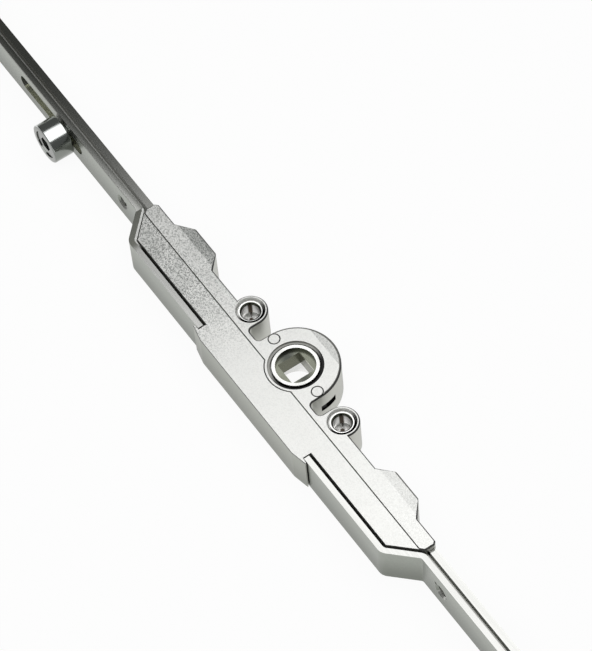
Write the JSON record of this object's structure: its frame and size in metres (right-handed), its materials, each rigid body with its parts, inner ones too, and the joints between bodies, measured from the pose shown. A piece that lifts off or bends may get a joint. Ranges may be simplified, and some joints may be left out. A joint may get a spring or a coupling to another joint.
{
  "type": "window espagnolette gearbox",
  "caption": "Window espagnolette gearbox: die-cast case with square-spindle pinion, hidden rack, two sliding drive rods behind joggled faceplate strips, and a roller cam.",
  "frame": {"origin": "on the spindle's axis, at mid height of the case", "axes": "+Z along the spindle's axis, +X along the faceplate, -Y towards the faceplate's outer side"},
  "size_m": [0.4, 0.0281, 0.012],
  "materials": {
    "casting": "fine-grained die-cast, plated silver-grey",
    "gear_steel": "zinc-plated steel, satin",
    "zinc_strip": "zinc-plated strip, drawn lines along the length",
    "rivet_steel": "plated rivets, satin",
    "bush_steel": "turned steel, bright",
    "polished_steel": "polished plated steel"
  },
  "bodies": {
    "case": {"rear_case_upper": "casting", "rear_case_lower": "casting", "front_case": "casting", "faceplate_right": "zinc_strip", "faceplate_left": "zinc_strip", "guide_rivet_right": "rivet_steel", "guide_rivet_left": "rivet_steel", "handle_bush_right": "bush_steel", "handle_bush_left": "bush_steel", "case_rivet_right": "rivet_steel", "case_rivet_left": "rivet_steel"},
    "pinion": {"pinion": "gear_steel"},
    "slider": {"rack_bar": "gear_steel", "drive_rod_right": "zinc_strip", "drive_rod_left": "zinc_strip", "coupling_rivet_right": "rivet_steel", "coupling_rivet_left": "rivet_steel", "cam_pin": "polished_steel"},
    "cam_roller": {"cam_roller": "polished_steel"}
  },
  "joints": [
    {"name": "rod_slide", "type": "slide", "parent": "case", "child": "slider", "axis": [1, 0, 0], "range_m": [-0.01178, 0]},
    {"name": "pinion_turn", "type": "hinge", "parent": "case", "child": "pinion", "pos_m": [0, 0, 0], "axis": [0, 0, 1], "range_deg": [-90, 0]},
    {"name": "cam_spin", "type": "hinge", "parent": "slider", "child": "cam_roller", "pos_m": [-0.1045, -0.0106, 0], "axis": [0, 1, 0], "continuous": true}
  ],
  "couplings": [
    {"joint": "pinion_turn", "follows": "rod_slide", "rad_per_m": 133.33}
  ]
}
